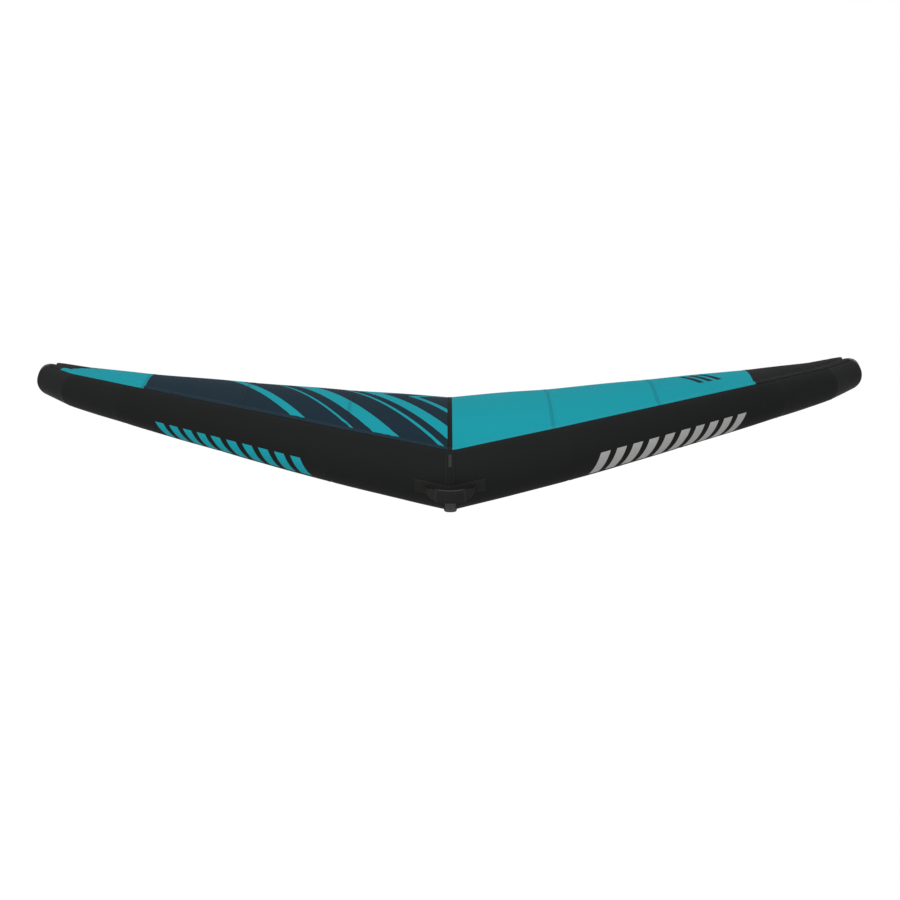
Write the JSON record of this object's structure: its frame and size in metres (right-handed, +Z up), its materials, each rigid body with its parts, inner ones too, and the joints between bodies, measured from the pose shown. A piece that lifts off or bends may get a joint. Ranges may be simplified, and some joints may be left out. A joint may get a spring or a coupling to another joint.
{
  "type": "wingfoil wing",
  "caption": "Inflatable wingfoil wing: V-shaped leading edge tube, cambered canopy and centre strut with grab handles, leash ring, harness loops and a pump valve.",
  "frame": {"origin": "centre of the front grip area: the lowest line of the strut at the middle of the front handle", "axes": "+X across the span to the viewer's right, +Y from the nose to the trailing edge, +Z up in the flying attitude"},
  "size_m": [3.121, 2.2747, 0.5285],
  "materials": {
    "teal_cloth": "coated ripstop, satin",
    "navy_cloth": "coated ripstop, satin",
    "black_cloth": "woven, matt",
    "sleeve_cloth": "dense woven, matt",
    "bladder_film": "smooth film",
    "webbing": "ribbed webbing",
    "grip_cover": "padded cover, matt",
    "moulded_plastic": "moulded, satin",
    "batten_fibre": "glass fibre",
    "steel": "polished"
  },
  "bodies": {
    "airframe": {"batten_1_left": "batten_fibre", "batten_1_right": "batten_fibre", "batten_2_left": "batten_fibre", "batten_2_right": "batten_fibre", "batten_pocket_1_left": "black_cloth", "batten_pocket_1_right": "black_cloth", "batten_pocket_2_left": "black_cloth", "batten_pocket_2_right": "black_cloth", "canopy_panel_1_left": "navy_cloth", "canopy_panel_1_right": "teal_cloth", "canopy_panel_2_left": "navy_cloth", "canopy_panel_2_right": "teal_cloth", "canopy_panel_3_left": "navy_cloth", "canopy_panel_3_right": "teal_cloth", "canopy_tip_left": "teal_cloth", "canopy_tip_right": "black_cloth", "connecting_hose": "moulded_plastic", "front_handle_feet": "webbing", "front_harness_loop": "webbing", "hose_clip": "moulded_plastic", "leading_edge_bladder": "bladder_film", "leading_edge_panel_1_left": "sleeve_cloth", "leading_edge_panel_1_right": "sleeve_cloth", "leading_edge_panel_2_left": "sleeve_cloth", "leading_edge_panel_2_right": "sleeve_cloth", "leading_edge_panel_3_left": "sleeve_cloth", "leading_edge_panel_3_right": "sleeve_cloth", "leading_edge_panel_4_left": "sleeve_cloth", "leading_edge_panel_4_right": "sleeve_cloth", "leading_edge_tip_left": "sleeve_cloth", "leading_edge_tip_right": "sleeve_cloth", "leash_tab": "webbing", "nose_handle_feet": "webbing", "nose_seam_tape": "black_cloth", "nose_webbing_tab": "webbing", "rear_handle_feet": "webbing", "rear_harness_loop": "webbing", "strut_bladder": "bladder_film", "strut_hose_fitting": "moulded_plastic", "strut_sleeve": "sleeve_cloth", "strut_tail_cap": "black_cloth", "strut_web": "black_cloth", "trailing_edge_hem_left": "black_cloth", "trailing_edge_hem_right": "black_cloth", "tube_hose_fitting": "moulded_plastic", "valve_body": "moulded_plastic", "zip_tape": "webbing"},
    "front_handle": {"front_handle_strap": "webbing", "front_handle_grip": "grip_cover"},
    "rear_handle": {"rear_handle_strap": "webbing", "rear_handle_grip": "grip_cover"},
    "nose_handle": {"nose_handle_strap": "webbing", "nose_handle_grip": "grip_cover"},
    "leash_ring": {"leash_ring": "steel"},
    "valve_cap": {"valve_cap": "moulded_plastic"},
    "valve_flap": {"valve_flap": "bladder_film"},
    "hose_clip_lever": {"hose_clip_lever": "moulded_plastic"},
    "zip_slider": {"zip_slider": "steel"}
  },
  "joints": [
    {"name": "front_handle_swing", "type": "hinge", "parent": "airframe", "child": "front_handle", "pos_m": [0, 0, -0.0135], "axis": [0, 0.9998, 0.0211], "range_deg": [-65, 65]},
    {"name": "rear_handle_swing", "type": "hinge", "parent": "airframe", "child": "rear_handle", "pos_m": [0, 0.6, 0.00765], "axis": [0, 0.999, 0.044], "range_deg": [-65, 65]},
    {"name": "nose_handle_swing", "type": "hinge", "parent": "airframe", "child": "nose_handle", "pos_m": [0, -0.65462, 0.03812], "axis": [1, 0, 0], "range_deg": [-70, 70]},
    {"name": "leash_ring_swing", "type": "hinge", "parent": "airframe", "child": "leash_ring", "pos_m": [0, -0.345, -0.01996], "axis": [1, 0, 0], "range_deg": [-75, 75]},
    {"name": "valve_cap_hinge", "type": "hinge", "parent": "airframe", "child": "valve_cap", "pos_m": [0.18363, -0.39448, 0.08698], "axis": [-1, 0, 0], "range_deg": [0, 130]},
    {"name": "valve_flap_hinge", "type": "hinge", "parent": "airframe", "child": "valve_flap", "pos_m": [0.18363, -0.43078, 0.12098], "axis": [-1, 0, 0], "range_deg": [0, 50]},
    {"name": "hose_clip_hinge", "type": "hinge", "parent": "airframe", "child": "hose_clip_lever", "pos_m": [-0.136, -0.38584, 0.1166], "axis": [0, 1, 0], "range_deg": [0, 95]},
    {"name": "zip_slide", "type": "slide", "parent": "airframe", "child": "zip_slider", "axis": [-0.9025, 0.3768, 0.2087], "range_m": [0, 0.266]}
  ]
}
